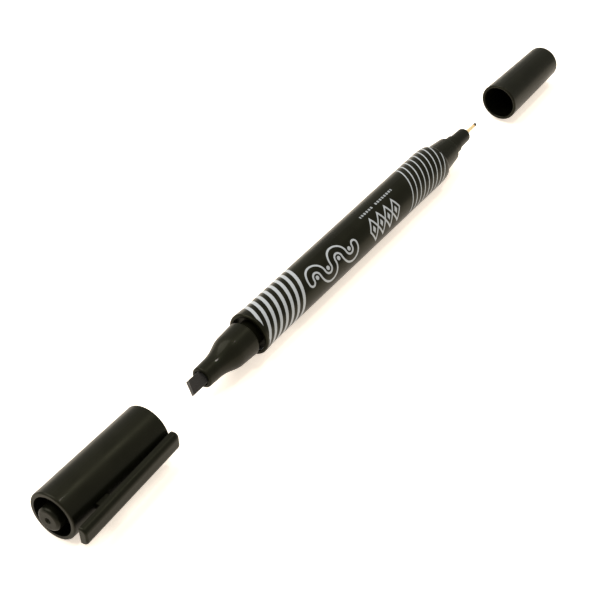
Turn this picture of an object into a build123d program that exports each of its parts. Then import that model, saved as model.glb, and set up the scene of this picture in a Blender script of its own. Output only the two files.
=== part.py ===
"""Felt tip marker with two tips: a chisel nib at one end and a fine nib at the other.

The marker lies along X with both caps pulled off. The chisel end and its cap, which carries
the pocket clip, point to -X; the fine end and its plain cap point to +X. The origin is on
the barrel's axis, halfway along the barrel. Each cap slides along X onto its own end.
Everything is in millimetres.
"""

import os
from math import cos, radians, sin

from build123d import *

# ---- driving dimensions ----
BARREL_R = 5.3
BARREL_LENGTH = 83.0
BARREL_WALL = 1.1
COLLAR_R = 5.5
NOSE_LENGTH = 18.0
NOSE_BASE_R = 4.5
NOSE_FRONT_R = 2.66
CHISEL_WIDTH = 3.3
CHISEL_THICKNESS = 2.1
CHISEL_REACH = 4.8
SEAT_LENGTH = 7.8
SEAT_BASE_R = 4.3
SEAT_END_R = 3.45
HOLDER_LENGTH = 8.4
HOLDER_R = 2.1
NEEDLE_REACH = 6.0
NEEDLE_TIP_R = 0.46
CAP_R = 6.1
CHISEL_CAP_LENGTH = 31.6
CHISEL_CAP_GAP = 37.1
FINE_CAP_MOUTH_R = 5.2
FINE_CAP_END_R = 4.52
FINE_CAP_LENGTH = 26.6
FINE_CAP_GAP = 34.8
CLIP_WIDTH = 4.5
CLIP_THICKNESS = 1.95
CLIP_TURN = -5.0

# ---- clearances ----
SLIP = 0.03
RUN = 0.06

# ---- stations along X ----
RIM_X = -BARREL_LENGTH / 2
SHOULDER_X = BARREL_LENGTH / 2
BORE_R = BARREL_R - BARREL_WALL
GROOVE_X = RIM_X - 1.75
PLUG_START_X = RIM_X + 1.4
PLUG_END_X = RIM_X + 8.2
NOSE_X = RIM_X - NOSE_LENGTH
SEAT_X = SHOULDER_X + SEAT_LENGTH
HOLDER_X = SEAT_X + HOLDER_LENGTH
CHISEL_MOUTH_X = RIM_X - CHISEL_CAP_GAP
CHISEL_RING_X = CHISEL_MOUTH_X - CHISEL_CAP_LENGTH
FINE_MOUTH_X = SHOULDER_X + FINE_CAP_GAP
FINE_END_X = FINE_MOUTH_X + FINE_CAP_LENGTH

# ---- barrel ----
COLLAR_LENGTH = 5.2
RIM_ROUND = 0.4
MOUTH_R = 4.7
MOUTH_DEPTH = 1.2
TAPER_LENGTH = 4.2
SHOULDER_TOP_R = 5.05
SHOULDER_FLAT_R = 4.65
SHOULDER_ROUND = 0.5
SEAT_TIP_R = 2.95
SEAT_TIP_LENGTH = 0.6
SEAT_BORE_R = 2.3
BORE_CONE_START_X = SHOULDER_X - 4.3
BORE_CONE_END_X = SHOULDER_X - 0.2
RIB_COUNT = 4
RIB_THICKNESS = 0.8
RIB_R = 3.68
RIB_START_X = PLUG_END_X + 2.0
RIB_END_X = BORE_CONE_START_X - 3.0

# ---- chisel section ----
NOSE_SHOULDER_X = NOSE_X + 11.3
NOSE_SHOULDER_R = 4.26
NOSE_FLARE_X = NOSE_X + 4.2
NOSE_FLARE_R = 2.78
NOSE_MIDDLE = (NOSE_X + 7.6, 3.38)
NOSE_ROUND = 0.45
NECK_R = 3.3
FRONT_BORE_R = 1.95
FRONT_BORE_DEPTH = 3.0
GUIDE_LENGTH = 10.0
CHAMBER_R = 2.7

# ---- chisel nib ----
NIB_TURN = 56.0
NIB_SLANT = 1.5
NIB_TAIL_X = PLUG_END_X + 7.0
NIB_BEVEL_LENGTH = 2.6
NIB_EDGE_THICKNESS = 0.9
NIB_ROUND = 0.22

# ---- reservoir ----
CORE_R = 3.45
FILM_R = 3.62
CORE_START_X = PLUG_END_X + 1.0
CORE_END_X = BORE_CONE_START_X - 1.0

# ---- fine tip ----
FLANGE_R = 2.5
FLANGE_LENGTH = 3.0
FLANGE_ROUND = 0.3
HOLDER_END_R = 1.95
HOLDER_ROUND = 0.75
HOLDER_TAIL_X = SHOULDER_X + 1.0
ROD_R = 0.75
ROD_START_X = CORE_END_X - 7.0
ROD_SHOULDER_X = HOLDER_X - 2.2
NEEDLE_BASE_R = 0.6
NEEDLE_CONE_X = HOLDER_X + 1.3

# ---- chisel cap ----
SLEEVE_BORE_R = 5.05
BEAD_R = NOSE_BASE_R + RUN
BEAD_DEPTH = 1.0
BEAD_WIDTH = 1.6
RING_ROUND = 0.42
CUP_R = 3.7
CUP_PROUD = 1.4
CUP_MOUTH_X = NOSE_FLARE_X - CHISEL_CAP_GAP - 0.4
CUP_BORE_R = NOSE_FLARE_R + RUN
CUP_BORE_END_X = NOSE_X - CHISEL_REACH - CHISEL_CAP_GAP - 2.5
CUP_END_R = 2.95
CUP_END_LENGTH = 3.2
CUP_ROUND = 0.8
DIMPLE_R = 0.8
DIMPLE_DEPTH = 0.6
SPOKE_COUNT = 4
SPOKE_WIDTH = 1.2
SPOKE_SETBACK = 2.4
SPOKE_LENGTH = 9.0

# ---- pocket clip ----
CLIP_OVERHANG = 1.3
CLIP_REACH = 0.6
CLIP_STAND_OFF = 2.55
CLIP_TIP_GAP = 0.65
CLIP_CROWN = 1.4
CLIP_NEAR_ROUND = 0.5
CLIP_FAR_ROUND = 1.3
BRIDGE_OFFSET = 7.0
BRIDGE_LENGTH = 3.4
BRIDGE_WIDTH = 1.8

# ---- fine cap ----
LIP_ROUND = 0.38
FINE_END_ROUND = 1.4
FINE_BORE_R = SEAT_BASE_R + RUN
FINE_BORE_END_R = 3.55
FINE_BORE_X = FINE_MOUTH_X + 8.5
FINE_ROOF = 1.3
FINE_CUP_R = 3.0
FINE_CUP_BORE_R = FLANGE_R + SLIP
FINE_CUP_MOUTH_X = SEAT_X + FINE_CAP_GAP + 0.3
FINE_CUP_STEP_X = FINE_CUP_MOUTH_X + 3.4
FINE_CUP_INNER_R = 2.2
FINE_CUP_ROOF_X = HOLDER_X + NEEDLE_REACH + FINE_CAP_GAP + 1.5
FINE_DISC_LENGTH = 3.0


# The chisel nib's broad faces are square to nib_normal; local x of its section is its thickness.
nib_normal = Vector(0, -cos(radians(NIB_TURN)), sin(radians(NIB_TURN)))


def nib_section_plane(x):
    """The plane across the marker at x, turned with the chisel nib."""
    return Plane(origin=(x, 0, 0), x_dir=nib_normal, z_dir=(1, 0, 0))


# ---- barrel: tube, flared chisel rim, rounded shoulder and the seat for the fine cap ----
with BuildPart() as barrel:
    with BuildSketch(Plane.XZ):
        with BuildLine():
            Line((RIM_X, MOUTH_R), (RIM_X, COLLAR_R - RIM_ROUND))
            JernArc((RIM_X, COLLAR_R - RIM_ROUND), (0, 1), RIM_ROUND, -90)
            collar_top = (RIM_X + RIM_ROUND, COLLAR_R)
            tube_start = (RIM_X + COLLAR_LENGTH, BARREL_R)
            taper_start = (SHOULDER_X - TAPER_LENGTH, BARREL_R)
            shoulder_top = (SHOULDER_X - SHOULDER_ROUND, SHOULDER_TOP_R)
            shoulder_face = (SHOULDER_X, SHOULDER_FLAT_R)
            Spline(collar_top, tube_start, tangents=[(1, 0), (1, 0)])
            Line(tube_start, taper_start)
            Spline(taper_start, shoulder_top, tangents=[(1, 0), (1, -0.16)])
            Spline(shoulder_top, shoulder_face, tangents=[(1, -0.16), (0.12, -1)])
            Line(shoulder_face, (SHOULDER_X, SEAT_BASE_R))
            Polyline(
                (SHOULDER_X, SEAT_BASE_R),
                (SEAT_X - SEAT_TIP_LENGTH, SEAT_END_R),
                (SEAT_X, SEAT_TIP_R),
                (SEAT_X, SEAT_BORE_R),
                (BORE_CONE_END_X, SEAT_BORE_R),
                (BORE_CONE_START_X, BORE_R),
                (RIM_X + MOUTH_DEPTH, BORE_R),
                (RIM_X + MOUTH_DEPTH, MOUTH_R),
                (RIM_X, MOUTH_R),
            )
        make_face()
    revolve(axis=Axis.X)
    # four ribs hold the reservoir clear of the wall
    rib_reach = BORE_R + BARREL_WALL / 2
    with BuildSketch(Plane.YZ.offset(RIB_START_X)):
        with PolarLocations((RIB_R + rib_reach) / 2, RIB_COUNT):
            Rectangle(rib_reach - RIB_R, RIB_THICKNESS)
    extrude(amount=RIB_END_X - RIB_START_X)

# ---- chisel section: flared nose, snap groove and the plug that closes the barrel ----
with BuildPart() as chisel_section:
    with BuildSketch(Plane.XZ):
        with BuildLine():
            Line((NOSE_X, FRONT_BORE_R), (NOSE_X, NOSE_FRONT_R - NOSE_ROUND))
            JernArc((NOSE_X, NOSE_FRONT_R - NOSE_ROUND), (0, 1), NOSE_ROUND, -90)
            Line((NOSE_X + NOSE_ROUND, NOSE_FRONT_R), (NOSE_FLARE_X, NOSE_FLARE_R))
            Spline(
                (NOSE_FLARE_X, NOSE_FLARE_R),
                NOSE_MIDDLE,
                (NOSE_SHOULDER_X, NOSE_SHOULDER_R),
                tangents=[(1, 0.05), (1, 0.04)],
            )
            Polyline(
                (NOSE_SHOULDER_X, NOSE_SHOULDER_R),
                (GROOVE_X - RIM_ROUND / 2, NOSE_BASE_R),
                (GROOVE_X, NOSE_BASE_R - RIM_ROUND / 2),
                (GROOVE_X, NECK_R),
                (PLUG_START_X, NECK_R),
                (PLUG_START_X, BORE_R - SLIP),
                (PLUG_END_X, BORE_R - SLIP),
                (PLUG_END_X, CHAMBER_R),
                (NOSE_X + FRONT_BORE_DEPTH + GUIDE_LENGTH, CHAMBER_R),
                (NOSE_X + FRONT_BORE_DEPTH + GUIDE_LENGTH, 0),
                (NOSE_X + FRONT_BORE_DEPTH, 0),
                (NOSE_X + FRONT_BORE_DEPTH, FRONT_BORE_R),
                (NOSE_X, FRONT_BORE_R),
            )
        make_face()
    revolve(axis=Axis.X)
    # the slot that guides the nib, turned with it
    with BuildSketch(nib_section_plane(NOSE_X + FRONT_BORE_DEPTH)):
        Rectangle(CHISEL_THICKNESS + 2 * SLIP, CHISEL_WIDTH + 2 * SLIP)
    extrude(amount=GUIDE_LENGTH, mode=Mode.SUBTRACT)

# ---- chisel nib: a felt bar, cut at a slant and bevelled on both faces ----
nib_plane = Plane(origin=(0, 0, 0), x_dir=(1, 0, 0), z_dir=nib_normal)
with BuildPart() as chisel_nib:
    long_corner_x = NOSE_X - CHISEL_REACH
    short_corner_x = long_corner_x + NIB_SLANT
    half_width = CHISEL_WIDTH / 2
    with BuildSketch(nib_plane):
        with BuildLine():
            Polyline(
                (NIB_TAIL_X, -half_width),
                (NIB_TAIL_X, half_width),
                (short_corner_x, half_width),
                (long_corner_x, -half_width),
                close=True,
            )
        make_face()
    extrude(amount=CHISEL_THICKNESS / 2, both=True)
    long_edges = chisel_nib.edges().filter_by(Axis.X)
    fillet(long_edges, radius=NIB_ROUND)
    # the bevels meet the slanted end in a blunt edge
    side_plane = Plane(origin=(0, 0, 0), x_dir=(1, 0, 0), z_dir=nib_plane.y_dir)
    bevel_start_x = long_corner_x + NIB_BEVEL_LENGTH
    for side in (-1, 1):
        with BuildSketch(side_plane):
            with BuildLine():
                Polyline(
                    (bevel_start_x + NIB_SLANT, side * CHISEL_THICKNESS / 2),
                    (bevel_start_x + NIB_SLANT, side * CHISEL_THICKNESS),
                    (long_corner_x - NIB_SLANT, side * CHISEL_THICKNESS),
                    (long_corner_x - NIB_SLANT, side * NIB_EDGE_THICKNESS / 4),
                    (long_corner_x, side * NIB_EDGE_THICKNESS / 2),
                    close=True,
                )
            make_face()
        extrude(amount=CHISEL_WIDTH, both=True, mode=Mode.SUBTRACT)

# ---- fine tip holder: plug, flange that the cap seals on, and the tapered holder ----
with BuildPart() as fine_tip_holder:
    with BuildSketch(Plane.XZ):
        with BuildLine():
            Polyline(
                (HOLDER_X, NEEDLE_BASE_R + SLIP),
                (ROD_SHOULDER_X, NEEDLE_BASE_R + SLIP),
                (ROD_SHOULDER_X, ROD_R + SLIP),
                (HOLDER_TAIL_X, ROD_R + SLIP),
                (HOLDER_TAIL_X, SEAT_BORE_R - SLIP),
                (SEAT_X, SEAT_BORE_R - SLIP),
                (SEAT_X, FLANGE_R),
                (SEAT_X + FLANGE_LENGTH - FLANGE_ROUND, FLANGE_R - SLIP),
                (SEAT_X + FLANGE_LENGTH, HOLDER_R),
                (HOLDER_X - HOLDER_ROUND, HOLDER_END_R),
            )
            Spline(
                (HOLDER_X - HOLDER_ROUND, HOLDER_END_R),
                (HOLDER_X, HOLDER_END_R - HOLDER_ROUND),
                tangents=[(1, -0.05), (0, -1)],
            )
            Line((HOLDER_X, HOLDER_END_R - HOLDER_ROUND), (HOLDER_X, NEEDLE_BASE_R + SLIP))
        make_face()
    revolve(axis=Axis.X)

# ---- fine nib: a plastic rod whose needle end writes ----
with BuildPart() as fine_nib:
    needle_x = HOLDER_X + NEEDLE_REACH
    with BuildSketch(Plane.XZ):
        with BuildLine():
            Polyline(
                (needle_x, 0),
                (ROD_START_X, 0),
                (ROD_START_X, ROD_R),
                (ROD_SHOULDER_X - RUN, ROD_R),
                (ROD_SHOULDER_X - RUN, NEEDLE_BASE_R),
                (NEEDLE_CONE_X, NEEDLE_BASE_R),
                (NEEDLE_CONE_X + 2 * NEEDLE_BASE_R, NEEDLE_TIP_R),
                (needle_x - NEEDLE_TIP_R, NEEDLE_TIP_R),
            )
            JernArc((needle_x - NEEDLE_TIP_R, NEEDLE_TIP_R), (1, 0), NEEDLE_TIP_R, -90)
        make_face()
    revolve(axis=Axis.X)

# ---- ink reservoir: a fibre core with a pocket for each nib, in a film sleeve ----
with BuildPart() as reservoir_core:
    with BuildSketch(Plane.YZ.offset(CORE_START_X)):
        Circle(CORE_R)
    extrude(amount=CORE_END_X - CORE_START_X)
    with BuildSketch(nib_section_plane(CORE_START_X)):
        Rectangle(CHISEL_THICKNESS, CHISEL_WIDTH)
    extrude(amount=NIB_TAIL_X - CORE_START_X, mode=Mode.SUBTRACT)
    with BuildSketch(Plane.YZ.offset(ROD_START_X)):
        Circle(ROD_R)
    extrude(amount=CORE_END_X - ROD_START_X, mode=Mode.SUBTRACT)

with BuildPart() as reservoir_film:
    with BuildSketch(Plane.YZ.offset(CORE_START_X)):
        Circle(FILM_R)
        Circle(CORE_R, mode=Mode.SUBTRACT)
    extrude(amount=CORE_END_X - CORE_START_X)

# ---- pocket clip geometry, shared by the clip and its bridge on the sleeve ----
# In the clip's plane, x runs along the marker and y points out from the cap's axis.
clip_out = Vector(0, -cos(radians(CLIP_TURN)), -sin(radians(CLIP_TURN)))
clip_side = Plane(origin=(0, 0, 0), x_dir=(1, 0, 0), z_dir=Vector(1, 0, 0).cross(clip_out))
clip_near_x = CHISEL_RING_X - CLIP_OVERHANG
clip_far_x = CHISEL_MOUTH_X + CLIP_REACH
clip_near_r = CAP_R + CLIP_STAND_OFF
clip_far_r = CAP_R + CLIP_TIP_GAP
clip_slope = (clip_far_r - clip_near_r) / (clip_far_x - clip_near_x)
bridge_near_x = CHISEL_RING_X + BRIDGE_OFFSET
bridge_far_x = bridge_near_x + BRIDGE_LENGTH


def clip_inner_r(x):
    """How far the clip's inner face stands from the cap's axis at x."""
    return clip_near_r + clip_slope * (x - clip_near_x)


# ---- chisel cap sleeve: open at both ends, with a snap bead and the clip's bridge ----
with BuildPart() as chisel_cap_sleeve:
    with BuildSketch(Plane.XZ):
        with BuildLine():
            Polyline(
                (CHISEL_RING_X, SLEEVE_BORE_R),
                (CHISEL_RING_X, CAP_R),
                (CHISEL_MOUTH_X, CAP_R),
                (CHISEL_MOUTH_X, SLEEVE_BORE_R),
                (CHISEL_MOUTH_X - BEAD_DEPTH, SLEEVE_BORE_R),
                (CHISEL_MOUTH_X - BEAD_DEPTH - BEAD_WIDTH / 3, BEAD_R),
                (CHISEL_MOUTH_X - BEAD_DEPTH - 2 * BEAD_WIDTH / 3, BEAD_R),
                (CHISEL_MOUTH_X - BEAD_DEPTH - BEAD_WIDTH, SLEEVE_BORE_R),
                close=True,
            )
        make_face()
    revolve(axis=Axis.X)
    end_rims = chisel_cap_sleeve.edges().filter_by(GeomType.CIRCLE)
    fillet(end_rims.group_by(SortBy.RADIUS)[-1], radius=RING_ROUND)
    sleeve_wall_r = (SLEEVE_BORE_R + CAP_R) / 2
    with BuildSketch(clip_side):
        with BuildLine():
            Polyline(
                (bridge_near_x, sleeve_wall_r),
                (bridge_near_x, clip_inner_r(bridge_near_x)),
                (bridge_far_x, clip_inner_r(bridge_far_x)),
                (bridge_far_x, sleeve_wall_r),
                close=True,
            )
        make_face()
    extrude(amount=BRIDGE_WIDTH / 2, both=True)

# ---- chisel cap inner: the sealing cup, held by spokes so that air can pass around it ----
with BuildPart() as chisel_cap_inner:
    cup_end_x = CHISEL_RING_X - CUP_PROUD
    with BuildSketch(Plane.XZ):
        with BuildLine():
            Polyline(
                (cup_end_x, 0),
                (cup_end_x, CUP_END_R),
                (cup_end_x + CUP_END_LENGTH, CUP_END_R),
                (cup_end_x + CUP_END_LENGTH + CUP_R - CUP_END_R, CUP_R),
                (CUP_MOUTH_X, CUP_R),
                (CUP_MOUTH_X, CUP_BORE_R),
                (CUP_BORE_END_X, CUP_BORE_R),
                (CUP_BORE_END_X, 0),
                close=True,
            )
        make_face()
    revolve(axis=Axis.X)
    cup_rim = chisel_cap_inner.edges().filter_by(GeomType.CIRCLE).group_by(Axis.X)[0]
    fillet(cup_rim, radius=CUP_ROUND)
    spoke_reach = SLEEVE_BORE_R - SLIP
    with BuildSketch(Plane.YZ.offset(CHISEL_RING_X + SPOKE_SETBACK)):
        with PolarLocations(0, SPOKE_COUNT, start_angle=CLIP_TURN + 45):
            with Locations(((CUP_BORE_R + spoke_reach) / 2, 0)):
                Rectangle(spoke_reach - CUP_BORE_R, SPOKE_WIDTH)
        Circle(spoke_reach, mode=Mode.INTERSECT)
    extrude(amount=SPOKE_LENGTH)
    with BuildSketch(Plane.XZ):
        with BuildLine():
            Polyline(
                (cup_end_x, 0),
                (cup_end_x, DIMPLE_R),
                (cup_end_x + DIMPLE_DEPTH, DIMPLE_R / 2),
                (cup_end_x + DIMPLE_DEPTH, 0),
                close=True,
            )
        make_face()
    revolve(axis=Axis.X, mode=Mode.SUBTRACT)

# ---- pocket clip: a leaning bar on the bridge, crowned outside and rounded at its ends ----
with BuildPart() as chisel_cap_clip:
    with BuildSketch(clip_side):
        with BuildLine():
            Polyline(
                (clip_near_x, clip_near_r),
                (clip_near_x, clip_near_r + CLIP_THICKNESS),
                (clip_far_x, clip_far_r + CLIP_THICKNESS),
                (clip_far_x, clip_far_r),
                close=True,
            )
        make_face()
    extrude(amount=CLIP_WIDTH / 2, both=True)
    outer_face = chisel_cap_clip.faces().sort_by(lambda face: face.center().dot(clip_out))[-1]
    fillet(outer_face.edges().sort_by(SortBy.LENGTH)[-2:], radius=CLIP_CROWN)
    for end, radius in ((0, CLIP_NEAR_ROUND), (-1, CLIP_FAR_ROUND)):
        end_face = chisel_cap_clip.faces().sort_by(Axis.X)[end]
        end_edges = end_face.edges().sort_by(lambda edge: edge.center().dot(clip_out))
        fillet(end_edges[1:], radius=radius)

# ---- fine cap shell: a tapered closed tube with a rounded lip ----
with BuildPart() as fine_cap_shell:
    with BuildSketch(Plane.XZ):
        with BuildLine():
            Polyline(
                (FINE_MOUTH_X, FINE_BORE_R),
                (FINE_MOUTH_X, FINE_CAP_MOUTH_R),
                (FINE_END_X, FINE_CAP_END_R),
                (FINE_END_X, 0),
                (FINE_END_X - FINE_ROOF, 0),
                (FINE_END_X - FINE_ROOF, FINE_BORE_END_R),
                (FINE_BORE_X, FINE_BORE_R),
                close=True,
            )
        make_face()
    revolve(axis=Axis.X)
    shell_rims = fine_cap_shell.edges().filter_by(GeomType.CIRCLE).group_by(Axis.X)
    fillet(shell_rims[-1], radius=FINE_END_ROUND)
    fillet(fine_cap_shell.edges().filter_by(GeomType.CIRCLE).group_by(Axis.X)[0], radius=LIP_ROUND)

# ---- fine cap inner: the cup that seals on the holder's flange ----
with BuildPart() as fine_cap_inner:
    disc_x = FINE_END_X - FINE_ROOF - FINE_DISC_LENGTH
    with BuildSketch(Plane.XZ):
        with BuildLine():
            Polyline(
                (FINE_CUP_MOUTH_X, FINE_CUP_BORE_R),
                (FINE_CUP_MOUTH_X, FINE_CUP_R),
                (disc_x, FINE_CUP_R),
                (disc_x, FINE_BORE_END_R - SLIP),
                (FINE_END_X - FINE_ROOF, FINE_BORE_END_R - SLIP),
                (FINE_END_X - FINE_ROOF, 0),
                (FINE_CUP_ROOF_X, 0),
                (FINE_CUP_ROOF_X, FINE_CUP_INNER_R),
                (FINE_CUP_STEP_X, FINE_CUP_INNER_R),
                (FINE_CUP_STEP_X, FINE_CUP_BORE_R),
                close=True,
            )
        make_face()
    revolve(axis=Axis.X)

# ---- one STEP file for each piece ----
pieces = {
    "barrel": barrel,
    "chisel_section": chisel_section,
    "chisel_nib": chisel_nib,
    "fine_tip_holder": fine_tip_holder,
    "fine_nib": fine_nib,
    "reservoir_core": reservoir_core,
    "reservoir_film": reservoir_film,
    "chisel_cap_sleeve": chisel_cap_sleeve,
    "chisel_cap_inner": chisel_cap_inner,
    "chisel_cap_clip": chisel_cap_clip,
    "fine_cap_shell": fine_cap_shell,
    "fine_cap_inner": fine_cap_inner,
}

os.makedirs("parts", exist_ok=True)
for label, piece in pieces.items():
    piece.part.label = label
    export_step(piece.part, f"parts/{label}.step")
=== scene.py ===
import math

import bpy
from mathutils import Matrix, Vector


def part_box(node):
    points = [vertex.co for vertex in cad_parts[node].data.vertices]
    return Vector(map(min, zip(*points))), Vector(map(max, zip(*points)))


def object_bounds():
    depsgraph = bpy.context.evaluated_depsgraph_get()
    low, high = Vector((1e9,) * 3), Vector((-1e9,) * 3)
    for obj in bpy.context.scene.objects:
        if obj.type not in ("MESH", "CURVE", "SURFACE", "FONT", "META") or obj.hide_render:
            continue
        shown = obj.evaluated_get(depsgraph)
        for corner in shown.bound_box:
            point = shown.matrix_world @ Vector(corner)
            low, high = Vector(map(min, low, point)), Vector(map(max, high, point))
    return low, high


MM = 0.001

# camera: its place in the frame, its turn from +X towards +Y and its dip below level, in degrees
CAMERA_MM = (-272.1, -173.4, 254.0)
CAMERA_TURN = 34.56
CAMERA_DIP = 40.18
LENS = 99.5
GAMMA = 0.88

# barrel and print, in millimetres: u runs along the barrel, v round it from the print's middle
BARREL_R = 5.3
BORE_EDGE_R = 4.55
PRINT_MIDDLE = math.radians(56)
PRINT_START = -40.6
PRINT_END = 41.0
PRINT_HALF_WIDTH = 15.6
PRINT_SOFT = 0.03
SEAT_EDGE = 48.7
SEAT_END = 49.3

# broad rings at the chisel end; starts is how many pitches a ring climbs in one turn
STRIPE_PITCH = 2.353
STRIPE_START = -40.71
STRIPE_COUNT = 8
STRIPE_WIDTH = 1.04
STRIPE_STARTS = 6

# thin rings at the fine end
LINE_PITCH = 1.9875
LINE_START = 24.77
LINE_COUNT = 9
LINE_WIDTH = 0.42
LINE_STARTS = 8

# middles of the marks between the rings, as u and v
WAVE_AT = (-11.9, -1.3)
DIAMONDS_AT = (10.6, -2.2)
DASHES_AT = (11.9, 2.45)

# the needle's ink, in millimetres back from its tip
STAIN_FROM, STAIN_TO = 1.25, 0.85
WICK_FROM, WICK_TO = 3.2, 1.0

# colours, linear
BLACK = (0.0026, 0.0027, 0.0012)
BLACK_WORN = (0.0080, 0.0080, 0.0045)
SECTION_BLACK = (0.0030, 0.0031, 0.0014)
# the caps' inner parts: black plastic made darker than BLACK, as painted shade for the hollow inside each
# cap
INNER_SHADED_BLACK = (0.0020, 0.0020, 0.0011)
OLIVE_SHEEN = (1.0, 0.99, 0.68, 1.0)
PRINT_GREY = (0.355, 0.375, 0.405)
FELT_DARK = (0.0050, 0.0040, 0.0030)
FELT_LIGHT = (0.020, 0.0140, 0.0095)
IVORY = (0.66, 0.51, 0.30)
IVORY_DEEP = (0.56, 0.40, 0.20)
INK = (0.006, 0.005, 0.005)
FIBRE = (0.035, 0.032, 0.030)
FILM = (0.55, 0.55, 0.52)
FILM_CREASED = (0.42, 0.42, 0.40)
FLOOR_LOW = (0.90, 0.845, 0.775)
FLOOR_HIGH = (0.91, 0.86, 0.79)
FLOOR_GLOW = (1.0, 0.89, 0.80, 1)
WORLD_COLOUR = (1.0, 0.98, 0.89, 1)

# how far a texture is drawn out along X: its scale there, against 1 across the barrel
SCUFFED = (0.12, 1.0, 1.0)
FELTED = (0.16, 1.0, 1.0)
CREASED = (0.15, 1.0, 1.0)
DRAWN = (0.2, 1.0, 1.0)
STRANDED = (0.08, 1.0, 1.0)

PLASTIC_IOR = 1.49
CLOUD_CELLS = 0.12
SCUFF_CELLS = 1.6
SCUFF_RANGE = 0.16
GRAIN_CELLS = 9.0
GRAIN_DEPTH = 0.004

FLOOR_HALF = 3.0

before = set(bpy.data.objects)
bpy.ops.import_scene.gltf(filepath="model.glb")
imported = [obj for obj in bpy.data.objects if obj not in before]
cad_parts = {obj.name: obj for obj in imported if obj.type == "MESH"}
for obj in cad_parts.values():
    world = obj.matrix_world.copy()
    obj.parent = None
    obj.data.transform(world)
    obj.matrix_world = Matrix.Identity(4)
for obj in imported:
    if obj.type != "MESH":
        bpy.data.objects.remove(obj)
cad_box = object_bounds()


class Field:
    """A number inside a material, which arithmetic extends with nodes."""

    def __init__(self, tree, socket):
        self.tree = tree
        self.socket = socket

    def math(self, operation, *others):
        node = self.tree.nodes.new("ShaderNodeMath")
        node.operation = operation
        for k, value in enumerate((self,) + others):
            if isinstance(value, Field):
                self.tree.links.new(value.socket, node.inputs[k])
            else:
                node.inputs[k].default_value = value
        return Field(self.tree, node.outputs[0])

    def __add__(self, other):
        return self.math("ADD", other)

    def __sub__(self, other):
        return self.math("SUBTRACT", other)

    def __mul__(self, other):
        return self.math("MULTIPLY", other)

    def __truediv__(self, other):
        return self.math("DIVIDE", other)

    def __abs__(self):
        return self.math("ABSOLUTE")

    def at_least(self, other):
        return self.math("MAXIMUM", other)

    def at_most(self, other):
        return self.math("MINIMUM", other)

    def nearest(self, count):
        """The nearest whole number from nought up to count less one."""
        return self.math("ROUND").at_least(0.0).at_most(count - 1.0)

    def ramp(self, low, high, to_low=0.0, to_high=1.0):
        """Maps low..high to to_low..to_high, clamped."""
        node = self.tree.nodes.new("ShaderNodeMapRange")
        self.tree.links.new(self.socket, node.inputs["Value"])
        node.inputs["From Min"].default_value = low
        node.inputs["From Max"].default_value = high
        node.inputs["To Min"].default_value = to_low
        node.inputs["To Max"].default_value = to_high
        return Field(self.tree, node.outputs["Result"])

    def above(self, edge, soft):
        """One above the edge and nought below it, blended over soft on each side."""
        return self.ramp(edge - soft, edge + soft)

    def below(self, edge, soft):
        """One below the edge and nought above it, blended over soft on each side."""
        return self.ramp(edge + soft, edge - soft)


class Paint:
    """A material under construction: its tree, its shader and the point being shaded."""

    def __init__(self, name):
        self.material = bpy.data.materials.new(name)
        self.material.use_nodes = True
        self.tree = self.material.node_tree
        self.shader = self.tree.nodes["Principled BSDF"]
        coordinates = self.tree.nodes.new("ShaderNodeTexCoord")
        self.point = coordinates.outputs["Object"]
        split = self.tree.nodes.new("ShaderNodeSeparateXYZ")
        self.tree.links.new(self.point, split.inputs[0])
        self.x, self.y, self.z = (Field(self.tree, s) / MM for s in split.outputs)

    def stretched(self, scale):
        """The point in millimetres times scale, for a texture's Vector input."""
        node = self.tree.nodes.new("ShaderNodeMapping")
        node.inputs["Scale"].default_value = [s / MM for s in scale]
        self.tree.links.new(self.point, node.inputs["Vector"])
        return node.outputs[0]

    def noise(self, scale, detail=3.0, roughness=0.5, stretch=(1, 1, 1)):
        """Noise with about scale cells per millimetre."""
        node = self.tree.nodes.new("ShaderNodeTexNoise")
        node.inputs["Scale"].default_value = scale
        node.inputs["Detail"].default_value = detail
        node.inputs["Roughness"].default_value = roughness
        self.tree.links.new(self.stretched(stretch), node.inputs["Vector"])
        return Field(self.tree, node.outputs[0])

    def mix(self, share, low, high):
        """A colour between low and high, each a colour or another mix."""
        node = self.tree.nodes.new("ShaderNodeMix")
        node.data_type = "RGBA"
        self.tree.links.new(share.socket, node.inputs["Factor"])
        for socket, colour in (("A", low), ("B", high)):
            entry = next(s for s in node.inputs if s.name == socket and s.type == "RGBA")
            if isinstance(colour, tuple):
                entry.default_value = (*colour, 1)
            else:
                self.tree.links.new(colour, entry)
        return next(s for s in node.outputs if s.type == "RGBA")

    def colour(self, socket):
        self.tree.links.new(socket, self.shader.inputs["Base Color"])

    def roughness(self, field):
        self.tree.links.new(field.socket, self.shader.inputs["Roughness"])

    def coat(self, field):
        self.tree.links.new(field.socket, self.shader.inputs["Coat Weight"])

    def bump(self, height, depth):
        """Raises the surface by depth millimetres where height is one."""
        node = self.tree.nodes.new("ShaderNodeBump")
        node.inputs["Strength"].default_value = 1.0
        node.inputs["Distance"].default_value = depth * MM
        self.tree.links.new(height.socket, node.inputs["Height"])
        self.tree.links.new(node.outputs[0], self.shader.inputs["Normal"])

    def set(self, **values):
        """Sets the shader's own sockets; an underscore stands for a space in a socket's name."""
        for name, value in values.items():
            self.shader.inputs[name.replace("_", " ")].default_value = value

    def angle(self, middle):
        """The angle round the barrel's axis from middle; both rise from -Y towards +Z."""
        up, out = math.sin(middle), math.cos(middle)
        along = self.z * up - self.y * out
        across = self.z * out + self.y * up
        return across.math("ARCTAN2", along)

    def wear(self, scuffs_from):
        """Faint clouding, hairline scuffs along the barrel, and how worn the two look together."""
        clouds = self.noise(CLOUD_CELLS, 4.0)
        scuffs = self.noise(SCUFF_CELLS, 2.0, 0.6, SCUFFED)
        scuffs = scuffs.ramp(scuffs_from, scuffs_from + SCUFF_RANGE)
        return clouds, scuffs, clouds.ramp(0.3, 0.75) * 0.6 + scuffs * 0.35


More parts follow.
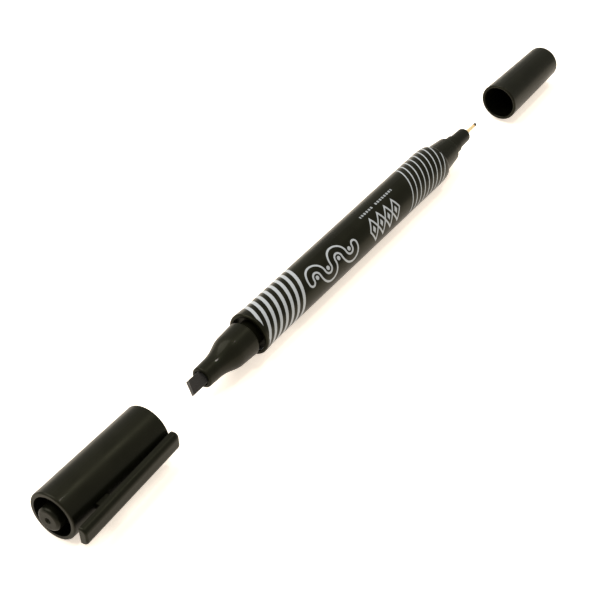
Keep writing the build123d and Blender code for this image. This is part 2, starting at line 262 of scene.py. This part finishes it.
def moulded(name, black, worn_black, gloss):
    """Black moulded plastic: faint clouding, fine grain, hairline scuffs along the barrel."""
    paint = Paint(name)
    clouds, scuffs, worn = paint.wear(0.62)
    grain = paint.noise(GRAIN_CELLS, 2.0)
    paint.colour(paint.mix(worn, black, worn_black))
    paint.roughness(clouds.ramp(0.3, 0.7, gloss - 0.05, gloss + 0.07) + scuffs * 0.12)
    paint.bump(grain + clouds * 2.0 + scuffs * 0.5, GRAIN_DEPTH)
    paint.set(IOR=PLASTIC_IOR, Specular_IOR_Level=0.15, Specular_Tint=OLIVE_SHEEN)
    paint.set(Coat_Weight=0.10, Coat_Roughness=0.02)
    return paint


def printed_barrel():
    """The barrel's film: black with pale rings that climb round it, and plain marks between them."""
    paint = Paint("barrel_plastic")
    clouds, scuffs, worn = paint.wear(0.64)
    printed = ink_print(paint)
    speckle = paint.noise(6.0, 3.0, 0.6).ramp(0.25, 0.45, 0.72, 1.0)
    film = paint.mix(worn, BLACK, BLACK_WORN)
    paint.colour(paint.mix(printed * speckle, film, PRINT_GREY))
    paint.roughness(clouds.ramp(0.3, 0.7, 0.24, 0.34) + scuffs * 0.12 + printed * 0.08)
    paint.bump(printed * 1.5 + paint.noise(GRAIN_CELLS, 2.0) * 0.5 + clouds, GRAIN_DEPTH)
    # the rubbed edge at the end of the seat
    paint.coat(paint.x.above(SEAT_EDGE, 0.1) * paint.x.below(SEAT_END + 0.05, 0.05))
    paint.set(IOR=PLASTIC_IOR, Specular_IOR_Level=0.18, Specular_Tint=OLIVE_SHEEN, Coat_Roughness=0.12)
    return paint


def ink_print(paint):
    """Where the barrel is printed: rings at both ends and the marks between, on its outside only."""
    wobble = (paint.noise(0.35, 2.0) - 0.5) * 0.10
    turn = paint.angle(PRINT_MIDDLE)
    u = paint.x
    v = turn * BARREL_R

    def rings(start, pitch, count, width, starts):
        climb = pitch * starts / (2 * math.pi)
        across = u - turn * climb - start + wobble
        away = abs(across - (across / pitch).nearest(count) * pitch)
        return away.below(width / 2, PRINT_SOFT)

    stripes = rings(STRIPE_START, STRIPE_PITCH, STRIPE_COUNT, STRIPE_WIDTH, STRIPE_STARTS)
    lines = rings(LINE_START, LINE_PITCH, LINE_COUNT, LINE_WIDTH, LINE_STARTS)
    printed = stripes.at_least(lines) * abs(v).below(PRINT_HALF_WIDTH, PRINT_SOFT)
    marks = ((wave_mark, WAVE_AT), (diamond_mark, DIAMONDS_AT), (dash_mark, DASHES_AT))
    for mark, (at_u, at_v) in marks:
        printed = printed.at_least(mark(u - at_u, v - at_v))
    inside = u.above(PRINT_START, PRINT_SOFT) * u.below(PRINT_END, PRINT_SOFT)
    outer = (paint.y * paint.y + paint.z * paint.z).math("SQRT").above(BORE_EDGE_R, 0.05)
    return printed * inside * outer


def wave_mark(u, v):
    """A fat outlined wave of four arcs with a dot in each hollow."""
    pitch, body, edge, dot, soft = 4.55, 0.72, 1.26, 0.56, 0.04
    radius = pitch / 2

    def distance(du, dv):
        return (du * du + dv * dv).math("SQRT")

    upper = abs(distance(abs(u + radius) - pitch, v) - radius)
    lower = abs(distance(abs(u - radius) - pitch, v) - radius)
    above = v.math("GREATER_THAN", 0.0)
    away = upper * above + lower * (above * -1.0 + 1.0)
    away = away.at_most(distance(abs(u) - 2 * pitch, v))
    outline = away.above(body, soft) * away.below(edge, soft)
    hollow = distance(abs(abs(u) - pitch) - radius, v)
    return outline.at_least(hollow.below(dot, soft))


def diamond_mark(u, v):
    """A chain of outlined diamonds, leaning forward; edges are shares of a diamond's half size."""
    pitch, count, tall, wide, slope = 3.3, 4, 3.2, 1.95, 0.22
    inner, outer, core, soft = 0.70, 0.99, 0.31, 0.02
    lean = u - v * slope + pitch * (count - 1) / 2
    size = abs(lean - (lean / pitch).nearest(count) * pitch) / wide + abs(v) / tall
    outline = size.above(inner, soft) * size.below(outer, soft)
    return outline.at_least(size.below(core, 0.03))


def dash_mark(u, v):
    """A row of short dashes with one wider gap."""
    pitch, half_length, half_height, reach, soft = 1.02, 0.31, 0.34, 7.25, 0.02
    gap_at, gap_half, faint = -1.0, 0.475, 0.8
    near = abs(u / pitch - (u / pitch).math("ROUND"))
    dashes = near.below(half_length, soft) * abs(v).below(half_height, soft) * abs(u).below(reach, 0.05)
    return dashes * abs(u - gap_at).above(gap_half, 0.025) * faint


def felt():
    """Pressed ink-soaked felt: fibres along the nib, darker where ink pools."""
    paint = Paint("chisel_felt")
    fibres = paint.noise(5.0, 4.0, 0.65, FELTED)
    pores = paint.noise(11.0, 2.0, 0.6)
    soak = paint.noise(0.6, 3.0)
    share = fibres.ramp(0.35, 0.75) * 0.7 + pores.ramp(0.5, 0.8) * 0.3
    paint.colour(paint.mix(share * soak.ramp(0.3, 0.7, 0.4, 1.0), FELT_DARK, FELT_LIGHT))
    paint.roughness(fibres.ramp(0.3, 0.7, 0.62, 0.9))
    paint.bump(fibres * 2.0 + pores, 0.05)
    paint.set(Sheen_Weight=0.25, Sheen_Roughness=0.5)
    return paint


def needle():
    """Ivory plastic rod whose last millimetre is black with ink."""
    paint = Paint("needle_plastic")
    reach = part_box("fine_nib")[1].x / MM
    soak = paint.noise(1.2, 3.0)
    stain = (paint.x + (soak - 0.5) * 0.5).ramp(reach - STAIN_FROM, reach - STAIN_TO)
    wick = paint.x.ramp(reach - WICK_FROM, reach - WICK_TO)
    body = paint.mix(wick * 0.35 + soak.ramp(0.4, 0.8) * 0.2, IVORY, IVORY_DEEP)
    paint.colour(paint.mix(stain, body, INK))
    paint.roughness(soak.ramp(0.3, 0.7, 0.34, 0.5))
    paint.bump(paint.noise(8.0, 2.0, 0.5, DRAWN), 0.01)
    paint.set(Subsurface_Weight=0.15, Subsurface_Scale=0.6 * MM)
    return paint


def fibre():
    """The reservoir: bundled fibres along the barrel, soaked with ink."""
    paint = Paint("ink_fibre")
    strands = paint.noise(4.0, 4.0, 0.6, STRANDED)
    paint.colour(paint.mix(strands.ramp(0.3, 0.7), INK, FIBRE))
    paint.roughness(strands.ramp(0.3, 0.7, 0.6, 0.95))
    paint.bump(strands, 0.06)
    return paint


def film_wrap():
    """Thin pale film round the reservoir, creased along its length."""
    paint = Paint("film")
    creases = paint.noise(0.9, 3.0, 0.5, CREASED)
    paint.colour(paint.mix(creases.ramp(0.35, 0.65), FILM, FILM_CREASED))
    paint.roughness(creases.ramp(0.3, 0.7, 0.12, 0.3))
    paint.bump(creases, 0.05)
    return paint


def paint_nodes():
    """Gives each CAD node its material."""
    barrel_paint = printed_barrel().material
    section_paint = moulded("section_plastic", SECTION_BLACK, BLACK_WORN, 0.40).material
    cap_paint = moulded("cap_plastic", BLACK, BLACK_WORN, 0.36).material
    # inner parts: a darker black, with BLACK where worn, as painted shade for the hollow inside the caps
    inner_shaded_paint = moulded("cap_inner_plastic", INNER_SHADED_BLACK, BLACK, 0.40).material
    paints = {
        "barrel": barrel_paint,
        "chisel_section": section_paint,
        "chisel_nib": felt().material,
        "fine_tip_holder": section_paint,
        "fine_nib": needle().material,
        "reservoir_core": fibre().material,
        "reservoir_film": film_wrap().material,
        "chisel_cap_sleeve": cap_paint,
        "chisel_cap_inner": inner_shaded_paint,
        "chisel_cap_clip": cap_paint,
        "fine_cap_shell": cap_paint,
        "fine_cap_inner": inner_shaded_paint,
    }
    for node, paint in paints.items():
        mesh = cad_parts[node].data
        mesh.materials.clear()
        mesh.materials.append(paint)


def make_floor():
    """A sheet of white paper under the marker; its faint glow keeps the shadows pale."""
    paint = Paint("floor_paper")
    paint.colour(paint.mix(paint.noise(0.02, 3.0), FLOOR_LOW, FLOOR_HIGH))
    paint.set(Roughness=0.9, Emission_Color=FLOOR_GLOW, Emission_Strength=0.60)
    half, level = FLOOR_HALF, cad_box[0][2]
    corners = [(-half, -half, level), (half, -half, level), (half, half, level), (-half, half, level)]
    mesh = bpy.data.meshes.new("floor")
    mesh.from_pydata(corners, [], [(0, 1, 2, 3)])
    mesh.materials.append(paint.material)
    floor = bpy.data.objects.new("floor", mesh)
    bpy.context.scene.collection.objects.link(floor)


def make_light(name, place, aim, size, power, colour):
    """A square lamp of size metres that shines from place to aim."""
    light = bpy.data.lights.new(name, "AREA")
    light.size = size
    light.energy = power
    light.color = colour
    lamp = bpy.data.objects.new(name, light)
    lamp.location = place
    lamp.rotation_euler = (Vector(aim) - Vector(place)).to_track_quat("-Z", "Y").to_euler()
    bpy.context.scene.collection.objects.link(lamp)


def make_camera():
    data = bpy.data.cameras.new("camera")
    data.lens = LENS
    data.clip_start = 0.01
    camera = bpy.data.objects.new("camera", data)
    camera.location = [c * MM for c in CAMERA_MM]
    turn, dip = math.radians(CAMERA_TURN), math.radians(CAMERA_DIP)
    ahead = Vector((math.cos(dip) * math.cos(turn), math.cos(dip) * math.sin(turn), -math.sin(dip)))
    camera.rotation_euler = ahead.to_track_quat("-Z", "Y").to_euler()
    bpy.context.scene.collection.objects.link(camera)
    bpy.context.scene.camera = camera


def make_world():
    world = bpy.data.worlds.new("studio")
    world.use_nodes = True
    back = world.node_tree.nodes["Background"]
    back.inputs["Color"].default_value = WORLD_COLOUR
    back.inputs["Strength"].default_value = 0.80
    bpy.context.scene.world = world


def set_view():
    view = bpy.context.scene.view_settings
    view.view_transform = "Standard"
    view.look = "None"
    view.gamma = GAMMA


paint_nodes()
make_floor()
make_light("key", place=(-0.3, 0.9, 1.5), aim=(-0.02, 0, 0), size=1.6, power=34, colour=(1.0, 0.97, 0.93))
make_light(
    "glint", place=(0.37, -0.125, 0.90), aim=(-0.05, 0, 0), size=0.012, power=1.6, colour=(1.0, 0.98, 0.95)
)
make_camera()
make_world()
set_view()
